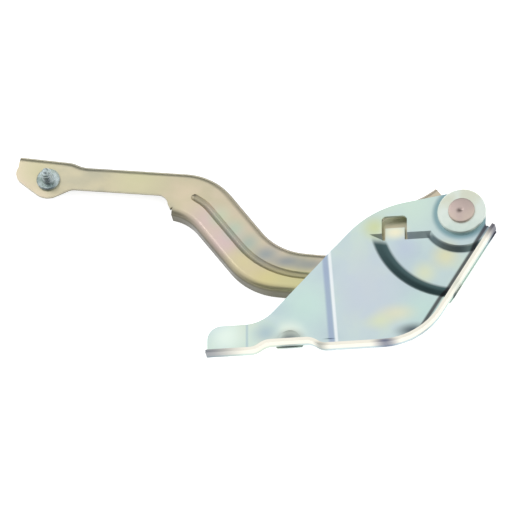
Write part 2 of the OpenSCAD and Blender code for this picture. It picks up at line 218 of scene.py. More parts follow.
def make_grain_group() -> bpy.types.NodeTree:
    """Builds the skin of rolled and plated sheet: a fine orange peel with faint drawn lines along X."""
    tree, graph, given, out = new_group(
        "SheetGrain", {"Vector": VECTOR, "Peel": FLOAT, "Lines": FLOAT}, {"Height": FLOAT, "Dull": FLOAT})
    peel = graph.add("ShaderNodeTexNoise", {"Vector": given.outputs["Vector"], "Scale": 900.0, "Detail": 3.0})
    drawn = graph.add("ShaderNodeVectorMath", {0: given.outputs["Vector"], 1: (60.0, 1400.0, 1400.0)},
                      operation="MULTIPLY")
    lines = graph.add("ShaderNodeTexNoise", {"Vector": drawn.outputs[0], "Scale": 1.0, "Detail": 2.0})
    marks = graph.add("ShaderNodeTexNoise", {"Vector": given.outputs["Vector"], "Scale": 55.0, "Detail": 5.0})
    height = graph.maths("ADD", graph.maths("MULTIPLY", peel.outputs[0], given.outputs["Peel"]),
                         graph.maths("MULTIPLY", lines.outputs[0], given.outputs["Lines"]))
    graph.tree.links.new(height, out.inputs["Height"])
    graph.tree.links.new(graph.step(marks.outputs[0], 0.35, 0.75), out.inputs["Dull"])
    return tree


def make_patch_group() -> bpy.types.NodeTree:
    """Builds a soft patch: 1 at its centre, 0 past its reach, measured in the X-Z plane."""
    tree, graph, given, out = new_group(
        "SoftPatch", {"Vector": VECTOR, "Centre": VECTOR, "Reach": FLOAT, "Stretch": VECTOR}, {"Mask": FLOAT})
    arm = graph.add("ShaderNodeVectorMath", {0: given.outputs["Vector"], 1: given.outputs["Centre"]},
                    operation="SUBTRACT").outputs[0]
    flat = graph.add("ShaderNodeVectorMath", {0: arm, 1: given.outputs["Stretch"]}, operation="MULTIPLY").outputs[0]
    away = graph.add("ShaderNodeVectorMath", {0: flat}, operation="LENGTH").outputs["Value"]
    near = graph.maths("DIVIDE", away, given.outputs["Reach"])
    mask = graph.maths("SUBTRACT", 1.0, graph.step(near, 0.0, 1.0), clamp=True)
    graph.tree.links.new(mask, out.inputs["Mask"])
    return tree


def make_ring_group() -> bpy.types.NodeTree:
    """Builds a ring about an axis along Y: 1 between its inner and outer radius, with soft edges."""
    tree, graph, given, out = new_group(
        "AxisRing", {"Vector": VECTOR, "Centre": VECTOR, "Inner": FLOAT, "Outer": FLOAT, "Soft": FLOAT},
        {"Mask": FLOAT, "Radius": FLOAT})
    arm = graph.add("ShaderNodeVectorMath", {0: given.outputs["Vector"], 1: given.outputs["Centre"]},
                    operation="SUBTRACT").outputs[0]
    flat = graph.add("ShaderNodeVectorMath", {0: arm, 1: (1.0, 0.0, 1.0)}, operation="MULTIPLY").outputs[0]
    radius = graph.add("ShaderNodeVectorMath", {0: flat}, operation="LENGTH").outputs["Value"]
    rise = graph.step(radius, graph.maths("SUBTRACT", given.outputs["Inner"], given.outputs["Soft"]),
                      graph.maths("ADD", given.outputs["Inner"], given.outputs["Soft"]))
    fall = graph.step(radius, graph.maths("SUBTRACT", given.outputs["Outer"], given.outputs["Soft"]),
                      graph.maths("ADD", given.outputs["Outer"], given.outputs["Soft"]))
    graph.tree.links.new(graph.maths("SUBTRACT", rise, fall, clamp=True), out.inputs["Mask"])
    graph.tree.links.new(radius, out.inputs["Radius"])
    return tree


@dataclass
class Groups:
    """The shader node groups that the finishes share."""

    film: bpy.types.NodeTree = field(default_factory=make_film_group)
    grain: bpy.types.NodeTree = field(default_factory=make_grain_group)
    patch: bpy.types.NodeTree = field(default_factory=make_patch_group)
    ring: bpy.types.NodeTree = field(default_factory=make_ring_group)


# Finishes


@dataclass(frozen=True)
class Patch:
    """A soft place of another colour: some patches are the film's own tone, where the bath drained or pooled; others
    are painted shade and painted highlights.
    """

    centre: Vec3
    reach: float
    colour: Colour
    strength: float
    stretch: Vec3 = (1.0, 0.0, 1.0)


@dataclass(frozen=True)
class ShadeRing:
    """A ring of painted shade about the pivot, on the pressed walls and round the washer."""

    inner: float
    outer: float
    soft: float
    colour: Colour
    strength: float
    below: float = 0.0


@dataclass(frozen=True)
class PaintedLine:
    """A line of painted shade or painted highlight in the web, along a bend or crease."""

    through: Vec3
    normal: Vec3
    reach: float
    colour: Colour
    strength: float


@dataclass(frozen=True)
class PaintedDepthLight:
    """Painted highlight or painted shade that grows with depth, from none at Y near to all of it at Y far."""

    near: float
    far: float
    colour: Colour
    strength: float


@dataclass(frozen=True)
class Finish:
    """A plated, bare or machined metal."""

    slot: Slot
    stops: tuple[tuple[float, Colour], ...]
    film_size: float
    stretch: Vec3 = (1.0, 1.0, 1.0)
    metallic: float = 0.85
    bright: float = 0.28
    dull: float = 0.42
    peel: float = 0.5
    drawn: float = 0.4
    relief: float = 0.03 * MM
    painted_depth_lights: tuple[PaintedDepthLight, ...] = ()
    shade_rings: tuple[ShadeRing, ...] = ()
    patches: tuple[Patch, ...] = ()
    lines: tuple[PaintedLine, ...] = ()
    lip_patches: tuple[Patch, ...] = ()
    web_y: float = 5.0 * MM
    turned: Vec3 | None = None
    turned_pitch: float = 0.5 * MM

    def material(self, groups: Groups) -> bpy.types.Material:
        """Builds the finish's material.

        Args:
            groups: The shared node groups.

        Returns:
            The material, which reads Object coordinates.
        """
        made = bpy.data.materials.new(self.slot.value)
        made.use_nodes = True
        made.node_tree.nodes.clear()
        graph = Graph(made.node_tree)
        place = graph.add("ShaderNodeTexCoord").outputs["Object"]
        film = graph.add("ShaderNodeGroup", node_tree=groups.film)
        graph.tree.links.new(place, film.inputs["Vector"])
        film.inputs["Size"].default_value = self.film_size
        film.inputs["Stretch"].default_value = self.stretch
        colour = graph.ramp(film.outputs["Film"], self.stops)
        colour = self.with_patches(graph, groups, place, colour, self.patches)
        colour = self.with_shade_rings(graph, groups, place, colour)
        colour = self.with_lines(graph, place, colour)
        colour = self.with_painted_depth_lights(graph, place, colour)
        colour = self.with_patches(graph, groups, place, colour, self.lip_patches)
        grain = graph.add("ShaderNodeGroup", node_tree=groups.grain)
        graph.tree.links.new(place, grain.inputs["Vector"])
        grain.inputs["Peel"].default_value = self.peel
        grain.inputs["Lines"].default_value = self.drawn
        height = grain.outputs["Height"]
        if self.turned is not None:
            height = graph.maths("ADD", height, self.turning(graph, groups, place))
        bump = graph.add("ShaderNodeBump", {"Height": height, "Strength": 0.6, "Distance": self.relief})
        rough = graph.add("ShaderNodeMapRange", {"Value": grain.outputs["Dull"], "To Min": self.bright,
                                                 "To Max": self.dull})
        shader = graph.add("ShaderNodeBsdfPrincipled", {"Base Color": colour, "Roughness": rough.outputs[0],
                                                        "Metallic": self.metallic, "Normal": bump.outputs[0]})
        graph.add("ShaderNodeOutputMaterial", {"Surface": shader.outputs[0]})
        return made

    def with_patches(self, graph: Graph, groups: Groups, place: Socket, colour: Socket,
                     patches: tuple[Patch, ...]) -> Socket:
        """Lays patches over a colour, one by one, and gives the result."""
        for patch in patches:
            node = graph.add("ShaderNodeGroup", node_tree=groups.patch)
            graph.tree.links.new(place, node.inputs["Vector"])
            node.inputs["Centre"].default_value = patch.centre
            node.inputs["Reach"].default_value = patch.reach
            node.inputs["Stretch"].default_value = patch.stretch
            share = graph.maths("MULTIPLY", node.outputs["Mask"], patch.strength)
            colour = graph.mix(share, colour, patch.colour)
        return colour

    def with_shade_rings(self, graph: Graph, groups: Groups, place: Socket, colour: Socket) -> Socket:
        """Lays each ring of painted shade over a colour and gives the result."""
        for ring in self.shade_rings:
            node = graph.add("ShaderNodeGroup", node_tree=groups.ring)
            graph.tree.links.new(place, node.inputs["Vector"])
            node.inputs["Centre"].default_value = PIVOT
            node.inputs["Inner"].default_value = ring.inner
            node.inputs["Outer"].default_value = ring.outer
            node.inputs["Soft"].default_value = ring.soft
            share = graph.maths("MULTIPLY", node.outputs["Mask"], ring.strength)
            if ring.below:
                height = graph.add("ShaderNodeSeparateXYZ", {0: place}).outputs["Z"]
                share = graph.maths("MULTIPLY", share, graph.step(height, PIVOT[2] - ring.below,
                                                                  PIVOT[2] - ring.below - 6 * MM))
            colour = graph.mix(share, colour, ring.colour)
        return colour

    def with_lines(self, graph: Graph, place: Socket, colour: Socket) -> Socket:
        """Lays each painted line of shade or highlight over a colour, by its distance in the X-Z plane, on the web
        only.
        """
        depth = graph.add("ShaderNodeSeparateXYZ", {0: place}).outputs["Y"] if self.lines else None
        for line in self.lines:
            arm = graph.add("ShaderNodeVectorMath", {0: place, 1: line.through}, operation="SUBTRACT").outputs[0]
            away = graph.add("ShaderNodeVectorMath", {0: arm, 1: line.normal},
                             operation="DOT_PRODUCT").outputs["Value"]
            near = graph.step(graph.maths("ABSOLUTE", away), line.reach, 0.25 * line.reach)
            on_web = graph.step(depth, self.web_y - 0.5 * MM, self.web_y)
            share = graph.maths("MULTIPLY", graph.maths("MULTIPLY", near, on_web), line.strength)
            colour = graph.mix(share, colour, line.colour)
        return colour

    def with_painted_depth_lights(self, graph: Graph, place: Socket, colour: Socket) -> Socket:
        """Lays each painted highlight or shade over a colour, by depth, and gives the result."""
        for fold in self.painted_depth_lights:
            depth = graph.add("ShaderNodeSeparateXYZ", {0: place}).outputs["Y"]
            share = graph.maths("MULTIPLY", graph.step(depth, fold.near, fold.far), fold.strength)
            colour = graph.mix(share, colour, fold.colour)
        return colour

    def turning(self, graph: Graph, groups: Groups, place: Socket) -> Socket:
        """Gives the height of lathe marks: a sine of the radius about the piece's axis."""
        node = graph.add("ShaderNodeGroup", node_tree=groups.ring)
        graph.tree.links.new(place, node.inputs["Vector"])
        node.inputs["Centre"].default_value = self.turned
        phase = graph.maths("MULTIPLY", node.outputs["Radius"], 2 * math.pi / self.turned_pitch)
        return graph.maths("MULTIPLY", graph.maths("SINE", phase), 0.14)


LIP_SIDE: Vec3 = (math.sin(math.radians(58.5)), 0.0, -math.cos(math.radians(58.5)))
CREASE_SIDE: Vec3 = (math.cos(math.radians(4.2)), 0.0, math.sin(math.radians(4.2)))

PLATED = Finish(
    slot=Slot.PLATED,
    stops=((0.0, shade(188, 206, 212)), (0.4, shade(198, 216, 216)), (0.7, shade(204, 222, 212)),
           (1.0, shade(214, 224, 208))),
    film_size=85 * MM,
    # Painted highlight: the lip's rim, and its face in front of Y 3 mm, are made pale cream.
    painted_depth_lights=(PaintedDepthLight(3 * MM, 1 * MM, shade(242, 238, 224), 1.0),),
    # Painted shade: the sector's dark outer wall and the dark crescent under the pad, both below the pivot, and the
    # washer's shadow round it.
    shade_rings=(ShadeRing(60.5 * MM, 70 * MM, 1.4 * MM, shade(52, 80, 82), 0.95, 16 * MM),
           ShadeRing(27.5 * MM, 31.5 * MM, 0.9 * MM, shade(70, 92, 100), 0.8, 13 * MM),
           ShadeRing(17.5 * MM, 22 * MM, 2.2 * MM, shade(104, 146, 156), 0.75)),
    patches=(Patch(from_pivot(-72, -58), 48 * MM, shade(198, 206, 220), 0.75, (1.0, 0.0, 0.8)),
             Patch(from_pivot(-118, -70), 34 * MM, shade(196, 224, 214), 0.7),
             Patch(from_pivot(-36, 8), 34 * MM, shade(206, 228, 214), 0.8),
             Patch(from_pivot(-30, -78), 26 * MM, shade(198, 226, 216), 0.7),
             Patch(from_pivot(-13, -33), 16 * MM, shade(226, 222, 176), 0.75),
             Patch(from_pivot(-29, -46), 14 * MM, shade(222, 226, 188), 0.7),
             Patch(from_pivot(-43, -24), 16 * MM, shade(190, 202, 220), 0.7),
             Patch(from_pivot(-50, -80), 13 * MM, shade(232, 226, 186), 0.6, (0.6, 0.0, 1.2)),
             Patch(from_pivot(-62, -86), 12 * MM, shade(222, 228, 184), 0.6, (0.7, 0.0, 1.2)),
             Patch(from_pivot(-66, -8), 14 * MM, shade(206, 214, 158), 0.8),
             # Painted highlight: the tab in the window is made bright cream.
             Patch(from_pivot(-51, -11), 13 * MM, shade(240, 236, 208), 1.0, (0.9, 0.0, 1.5)),
             # Painted highlight round the gusset's rim, then painted shade in its hollow.
             Patch(from_pivot(-130, -93), 16 * MM, shade(236, 244, 230), 0.9),
             Patch(from_pivot(-130, -97), 15 * MM, shade(78, 94, 104), 1.0, (1.0, 0.0, 1.25)),
             # Painted shade on the slope where the foot's joggle runs into the web.
             Patch(from_pivot(-148, -90), 12 * MM, shade(158, 184, 198), 0.75, (0.8, 0.0, 0.9)),
             Patch(from_pivot(-177, -91), 18 * MM, shade(226, 240, 230), 0.9),
             # Painted shade in the inner corner of the heel's bend.
             Patch(from_pivot(-37, -95), 11 * MM, shade(62, 74, 84), 0.9, (0.6, 0.0, 1.3))),
    # Painted shade beside the lip's inner corner; painted shade and a painted highlight along the crease; painted
    # shade along the foot's bend.
    lines=(PaintedLine(from_pivot(26 - 8.8 * LIP_SIDE[0], -16.5 - 8.8 * LIP_SIDE[2]), LIP_SIDE, 2.4 * MM,
                shade(44, 36, 42), 0.85),
           PaintedLine(from_pivot(-102.5, -40), CREASE_SIDE, 3.6 * MM, shade(146, 162, 194), 0.7),
           PaintedLine(from_pivot(-97.5, -60), CREASE_SIDE, 1.8 * MM, shade(244, 248, 250), 0.8),
           PaintedLine(from_pivot(-162, -90), (1.0, 0.0, 0.0), 1.4 * MM, shade(164, 188, 200), 0.6)),
    # On the lip: painted dark reflections where it curves at the heel and at its top end; the plate's colour again
    # where the lip's painted highlight spills onto the band's end; painted shade along the foot's lip; a greyer
    # patch below the crease.
    lip_patches=(Patch(from_pivot(-57, -107), 13 * MM, shade(84, 92, 124), 0.9, (1.0, 0.0, 3.0)),
                 Patch(from_pivot(25, -18), 13 * MM, shade(60, 60, 84), 0.9),
                 Patch(from_pivot(0, -65), 9 * MM, shade(206, 212, 198), 0.95),
                 Patch(from_pivot(-192, -107), 28 * MM, shade(92, 100, 116), 0.85, (0.8, 0.0, 4.0)),
                 Patch(from_pivot(-107, -107), 10 * MM, shade(132, 138, 132), 0.7, (1.0, 0.0, 2.5))),
)
PASSIVATED = Finish(
    slot=Slot.PASSIVATED,
    stops=((0.0, shade(178, 174, 152)), (0.4, shade(196, 188, 160)), (0.7, shade(204, 192, 168)),
           (1.0, shade(206, 190, 176))),
    film_size=60 * MM,
    stretch=(0.7, 1.0, 1.0),
    # Painted shade: the arm's rolled edges darken with depth behind its web.
    painted_depth_lights=(PaintedDepthLight(13.2 * MM, 17.4 * MM, shade(84, 82, 70), 0.92),),
    patches=(Patch(from_pivot(-194, 10), 20 * MM, shade(212, 188, 188), 0.7),
             Patch(from_pivot(-180, -7), 18 * MM, shade(210, 186, 188), 0.8),
             Patch(from_pivot(-165, -26), 18 * MM, shade(212, 202, 154), 0.7),
             Patch(from_pivot(-148, -41), 22 * MM, shade(212, 202, 144), 0.8, (0.8, 0.0, 1.2)),
             Patch(from_pivot(-122, -48), 26 * MM, shade(204, 200, 144), 0.85, (0.7, 0.0, 1.2)),
             # Painted shade along the bead's upper wall, darkest near the bracket.
             Patch(from_pivot(-184, 13), 13 * MM, shade(186, 206, 176), 0.6),
             Patch(from_pivot(-173, 1), 13 * MM, shade(172, 196, 174), 0.7),
             Patch(from_pivot(-162, -11), 13 * MM, shade(156, 178, 170), 0.7),
             Patch(from_pivot(-149, -21), 14 * MM, shade(136, 152, 160), 0.75, (0.85, 0.0, 1.3)),
             Patch(from_pivot(-133, -28), 15 * MM, shade(128, 142, 152), 0.75, (0.75, 0.0, 1.8)),
             Patch(from_pivot(-116, -32), 15 * MM, shade(136, 146, 152), 0.7, (0.75, 0.0, 1.9)),
             Patch(from_pivot(-245, 50), 30 * MM, shade(200, 198, 158), 0.6),
             Patch(from_pivot(-210, 34), 20 * MM, shade(210, 196, 168), 0.6),
             Patch(from_pivot(-322, 60), 24 * MM, shade(186, 182, 148), 0.7)),
)
CUT_EDGE = Finish(
    slot=Slot.PLATED, stops=((0.0, shade(104, 104, 96)), (1.0, shade(138, 136, 124))), film_size=20 * MM,
    bright=0.35, dull=0.5)
RIVET_STEEL = Finish(
    slot=Slot.RIVET, stops=((0.0, shade(182, 168, 158)), (0.5, shade(206, 190, 178)), (1.0, shade(196, 178, 172))),
    film_size=40 * MM, bright=0.42, dull=0.5, drawn=0.0,
    # Painted shade in the head's dimple.
    patches=(Patch(from_pivot(-1.6, -0.8), 3.2 * MM, shade(104, 92, 88), 0.85),))
WASHER_PLATE = Finish(
    slot=Slot.WASHER, stops=((0.0, shade(196, 214, 206)), (0.5, shade(222, 232, 224)), (1.0, shade(214, 218, 200))),
    film_size=44 * MM, bright=0.32, dull=0.4, drawn=0.0, turned=PIVOT, turned_pitch=1.1 * MM)
BEARING_BRONZE = Finish(
    slot=Slot.BRONZE, stops=((0.0, shade(158, 122, 74)), (1.0, shade(190, 152, 96))), film_size=9 * MM,
    bright=0.3, dull=0.45, turned=PIVOT)
BRIGHT_STEEL = Finish(
    slot=Slot.STUD, stops=((0.0, shade(132, 146, 142)), (0.5, shade(176, 188, 190)), (1.0, shade(150, 162, 156))),
    film_size=9 * MM, metallic=0.95, bright=0.2, dull=0.34, drawn=0.0, turned=STUD_AXIS, turned_pitch=1.4 * MM)


# Surfaces


def add_object(name: str, mesh: bpy.types.Mesh, material: bpy.types.Material) -> bpy.types.Object:
    """Puts a mesh into the scene as an object at the origin, with one material."""
    mesh.materials.clear()
    mesh.materials.append(material)
    made = bpy.data.objects.new(name, mesh)
    bpy.context.scene.collection.objects.link(made)
    return made


def revolved(name: str, along: np.ndarray, radii: np.ndarray, axis: Vec3) -> bpy.types.Mesh:
    """Makes a closed surface round an axis that runs along Y.

    The point at row i and column j is the axis point at Y along[i], moved by radii[i, j] at the angle of
    column j. A pole closes each end.

    Args:
        name: The mesh's name.
        along: Y of each row, rising.
        radii: Radius of each point, one row for each value of along.
        axis: A point on the axis.

    Returns:
        The mesh, with faces that point outwards.
    """
    rows, columns = radii.shape
    angle = np.linspace(0, 2 * np.pi, columns, endpoint=False)
    x = axis[0] + radii * np.cos(angle)
    z = axis[2] + radii * np.sin(angle)
    y = np.repeat(along[:, None], columns, axis=1)
    grid = np.stack([x, y, z], axis=-1).reshape(-1, 3)
    poles = np.array([[axis[0], along[0], axis[2]], [axis[0], along[-1], axis[2]]])
    points = np.vstack([grid, poles])
    column = np.arange(columns)
    after = (column + 1) % columns
    start = (np.arange(rows - 1) * columns)[:, None]
    quads = np.stack([start + column, start + column + columns, start + after + columns, start + after],
                     axis=-1).reshape(-1, 4)
    last = (rows - 1) * columns
    first_cap = np.stack([column, after, np.full(columns, len(grid))], axis=-1)
    last_cap = np.stack([last + after, last + column, np.full(columns, len(grid) + 1)], axis=-1)
    faces = quads.tolist() + first_cap.tolist() + last_cap.tolist()
    mesh = bpy.data.meshes.new(name)
    mesh.from_pydata(points.tolist(), [], faces)
    shell = bmesh.new()
    shell.from_mesh(mesh)
    bmesh.ops.recalc_face_normals(shell, faces=shell.faces)
    shell.to_mesh(mesh)
    shell.free()
    mesh.shade_smooth()
    mesh.set_sharp_from_angle(angle=math.radians(40))
    return mesh


def profile(corners: list[tuple[float, float]], spacing: float) -> tuple[np.ndarray, np.ndarray]:
    """Fills a profile's straight runs with points no further apart than a spacing.

    Args:
        corners: Pairs of Y and radius, with Y rising.
        spacing: The largest step along the profile.

    Returns:
        Y and radius of each point.
    """
    points = np.array(corners)
    runs = []
    for a, b in zip(points[:-1], points[1:]):
        count = max(1, math.ceil(float(np.linalg.norm(b - a)) / spacing))
        runs.append(a + (b - a) * np.linspace(0, 1, count, endpoint=False)[:, None])
    runs.append(points[-1:])
    whole = np.vstack(runs)
    return whole[:, 0], whole[:, 1]


@dataclass
class PressedSheet:
    """A pressed sheet part: the solid's own surface, with its bends shaded round and its cut edges broken."""

    node: str
    piece: str
    body: Body
    finish: Finish
    merge: float = 0.01 * MM
    sharp: float = 38.0
    broken_edge: float = 0.45 * MM

    def prepare(self, shell: bmesh.types.BMesh) -> None:
        """Adds what cuts the surface needs before its points move. A plain sheet needs none."""

    def reshape(self, points: np.ndarray) -> np.ndarray:
        """Gives the sheet's points where they should be. A plain sheet keeps them."""
        return points

    def build(self, groups: Groups) -> bpy.types.Object:
        """Builds the piece from a merged copy of the solid's surface.

        Args:
            groups: The shared node groups.

        Returns:
            The piece, which stands for its node.
        """
        mesh = frame["nodes"][self.node].data.copy()
        shell = bmesh.new()
        shell.from_mesh(mesh)
        bmesh.ops.remove_doubles(shell, verts=shell.verts, dist=self.merge)
        bmesh.ops.dissolve_limit(shell, angle_limit=math.radians(0.05), verts=shell.verts, edges=shell.edges)
        self.prepare(shell)
        shell.to_mesh(mesh)
        shell.free()
        points = np.zeros(len(mesh.vertices) * 3, np.float32)
        mesh.vertices.foreach_get("co", points)
        points = self.reshape(points.reshape(-1, 3))
        mesh.vertices.foreach_set("co", points.ravel())
        mesh.update()
        if "custom_normal" in mesh.attributes:
            mesh.attributes.remove(mesh.attributes["custom_normal"])
        mesh.shade_smooth()
        mesh.set_sharp_from_angle(angle=math.radians(self.sharp))
        made = add_object(self.piece, mesh, self.finish.material(groups))
        mesh.materials.append(CUT_EDGE.material(groups))
        edge = made.modifiers.new("broken_edge", "BEVEL")
        edge.width = self.broken_edge
        edge.material = 1
        edge.segments = 2
        edge.limit_method = "ANGLE"
        edge.angle_limit = math.radians(60)
        even = made.modifiers.new("even_shading", "WEIGHTED_NORMAL")
        even.keep_sharp = True
        even.weight = 80
        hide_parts(self.node)
        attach(made, self.body.value)
        return made


@dataclass
class BracketSheet(PressedSheet):
    """The body bracket, whose gusset is pressed shallower than the solid's."""

    web_front: float = 6.0 * MM
    web_back: float = 8.6 * MM
    gusset: Vec3 = (-46 * MM, 2.25 * MM, 10.5 * MM)
    inner_r: float = 9.5 * MM
    outer_r: float = 12.1 * MM
    shallow: tuple[float, float] = (0.35, 0.05)

    def reshape(self, points: np.ndarray) -> np.ndarray:
        """Brings the gusset's two balls nearer to the web.

        A point on either ball keeps the share shallow of its depth behind that face of the web.
        """
        away = np.linalg.norm(points - np.array(self.gusset), axis=1)
        moved = points.copy()
        balls = ((self.inner_r, self.web_front), (self.outer_r, self.web_back))
        for (radius, web), share in zip(balls, self.shallow):
            on_ball = (np.abs(away - radius) < 0.3 * MM) & (points[:, 1] > web)
            moved[on_ball, 1] = web + (points[on_ball, 1] - web) * share
        return moved


@dataclass
class ArmSheet(PressedSheet):
    """The hood arm, which rises behind the window and has a plain corner at its notch."""

    rise: float = 7.0 * MM
    rise_from: float = -92 * MM
    rise_to: float = -24 * MM
    cuts: int = 12
    web_low: float = -26.0 * MM
    notch: tuple[float, float] = (-222.9 * MM, 19.1 * MM)
    notch_corner: tuple[float, float] = (-221.4 * MM, 22.0 * MM)
    notch_reach: float = 0.8 * MM

    def prepare(self, shell: bmesh.types.BMesh) -> None:
        """Cuts the surface square to X along the stretch that rises."""
        for x in np.linspace(self.rise_from, self.rise_to, self.cuts):
            parts = list(shell.verts) + list(shell.edges) + list(shell.faces)
            bmesh.ops.bisect_plane(shell, geom=parts, dist=1e-7, plane_co=(PIVOT[0] + x, 0, 0),
                                   plane_no=(1, 0, 0))

    def reshape(self, points: np.ndarray) -> np.ndarray:
        """Lifts the upper edge behind the window and draws the notch's spike back into its corner.

        The lift is rise times a squared sine along X times a smooth step up from the edge's lower side.
        """
        moved = points.copy()
        x = points[:, 0] - PIVOT[0]
        z = points[:, 2] - PIVOT[2]
        along = np.clip((x - self.rise_from) / (self.rise_to - self.rise_from), 0, 1)
        edge = -24.5 * MM + along * 51 * MM
        up = np.clip((z - (edge - 11 * MM)) / (3 * MM), 0, 1)
        moved[:, 2] += self.rise * np.sin(np.pi * along) ** 2 * up
        spike = np.hypot(x - self.notch[0], z - self.notch[1]) < self.notch_reach
        spike &= points[:, 1] < 16.5 * MM
        moved[spike, 0] = PIVOT[0] + self.notch_corner[0]
        moved[spike, 2] = PIVOT[2] + self.notch_corner[1]
        LOG.info("notch: %d points moved", int(spike.sum()))
        return moved


@dataclass
class ThreadedStud:
    """The hood stud, with a rolled thread where the solid has a plain shank."""

    shank_r: float = 4.0 * MM
    seat_r: float = 4.8 * MM
    head_r: float = 7.0 * MM
    head_t: float = 2.0 * MM
    sheet_t: float = 3.0 * MM
    collar_t: float = 2.4 * MM
    edge: float = 0.8 * MM
    pitch: float = 1.25 * MM
    depth: float = 0.62 * MM
    point: float = 3.2 * MM
    columns: int = 72

    def build(self, groups: Groups) -> bpy.types.Object:
        """Builds the stud.

        The thread takes depth times a triangle wave off the radius, whose phase is Y over the pitch less
        the share of a turn, and fades out at its two ends.

        Args:
            groups: The shared node groups.

        Returns:
            The piece, which stands for the solid stud.
        """
        low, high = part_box("hood_stud")
        collar_r = (high.x - low.x) / 2
        back = high.y - self.head_t
        collar_back = back - self.sheet_t
        collar_front = collar_back - self.collar_t
        start = low.y + self.point
        y, radius = profile([
            (low.y, 0.2 * self.shank_r), (low.y, self.shank_r - 2.6 * MM),
            (low.y + 0.6 * MM, self.shank_r - 1.7 * MM), (low.y + 2 * MM, self.shank_r - 0.9 * MM),
            (start, self.shank_r - 0.9 * MM), (start + self.edge, self.shank_r),
            (collar_front - self.edge, self.shank_r), (collar_front, self.shank_r + self.edge),
            (collar_front, collar_r - self.edge), (collar_front + self.edge, collar_r),
            (collar_back, collar_r), (collar_back, self.seat_r), (back, self.seat_r),
            (back, self.head_r), (back + 0.6 * self.head_t, self.head_r),
            (high.y, self.head_r - self.edge), (high.y, 0.2 * self.head_r)], 0.12 * MM)
        angle = np.linspace(0, 1, self.columns, endpoint=False)
        phase = (y[:, None] / self.pitch - angle[None, :]) % 1.0
        wave = np.abs(2 * phase - 1)
        threaded = np.clip((y - start - 0.5 * MM) / MM, 0, 1) * np.clip((collar_front - self.edge - y) / MM, 0, 1)
        radii = radius[:, None] - self.depth * threaded[:, None] * wave
        made = add_object("threaded_stud", revolved("threaded_stud", y, radii, STUD_AXIS),
                          BRIGHT_STEEL.material(groups))
        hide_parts("hood_stud")
        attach(made, Body.ARM.value)
        return made


@dataclass
class CrownedRivet:
    """The shoulder rivet, with the crowned, slightly uneven head that its forming tool leaves."""

    shank_r: float = 6.0 * MM
    head_h: float = 2.6 * MM
    washer_t: float = 3.0 * MM
    tail_r: float = 9.0 * MM
    tail_h: float = 2.4 * MM
    dimple_r: float = 1.6 * MM
    dimple_depth: float = 0.6 * MM
    crown: float = 0.7 * MM
    columns: int = 96

    def build(self, groups: Groups) -> bpy.types.Object:
        """Builds the rivet as one surface of revolution.

        The head's face drops from its dimple's rim to its edge by crown times the square of the radius,
        and its edge is a quarter circle. The tail is the same without a dimple.

        Args:
            groups: The shared node groups.

        Returns:
            The piece, which stands for the solid rivet.
        """
        low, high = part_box("pivot_rivet")
        head_r = (high.x - low.x) / 2
        under = low.y + self.head_h
        round_r = 1.1 * MM
        share = np.linspace(0.02, 1, 16)
        flat = share * (head_r - round_r)
        hollow = self.dimple_depth * np.clip(1 - (flat / self.dimple_r) ** 2, 0, 1)
        face = low.y + self.crown * share ** 2 + hollow
        turn = np.linspace(0.2, 1, 6) * np.pi / 2
        face_edge = low.y + self.crown
        rim_y = face_edge + round_r * (1 - np.cos(turn))
        rim_r = head_r - round_r + round_r * np.sin(turn)
        tail = high.y - self.tail_h
        y = np.concatenate([face, rim_y, [under, under, tail, tail, high.y - 1.1 * MM, high.y, high.y]])
        radius = np.concatenate([flat, rim_r, [head_r, self.shank_r, self.shank_r, self.tail_r, self.tail_r,
                                               self.tail_r - 1.2 * MM, 0.4 * MM]])
        radii = np.repeat(radius[:, None], self.columns, axis=1)
        made = add_object("crowned_rivet", revolved("crowned_rivet", y, radii, PIVOT),
                          RIVET_STEEL.material(groups))
        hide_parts("pivot_rivet")
        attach(made, Body.BRACKET.value)
        return made


@dataclass
class PivotStack:
    """The washers and bush, which keep their solids and take their finishes."""

    washers: tuple[str, ...] = ("pivot_washer", "rear_washer")
    bearings: tuple[str, ...] = ("friction_washer", "pivot_bush")

    def dress(self, groups: Groups) -> None:
        """Gives each solid of the stack its finish."""
        washer = WASHER_PLATE.material(groups)
        bronze = BEARING_BRONZE.material(groups)
        for names, material in ((self.washers, washer), (self.bearings, bronze)):
            for name in names:
                node = frame["nodes"][name]
                node.data.materials.clear()
                node.data.materials.append(material)
                LOG.info("dressed %s", name)


# Studio


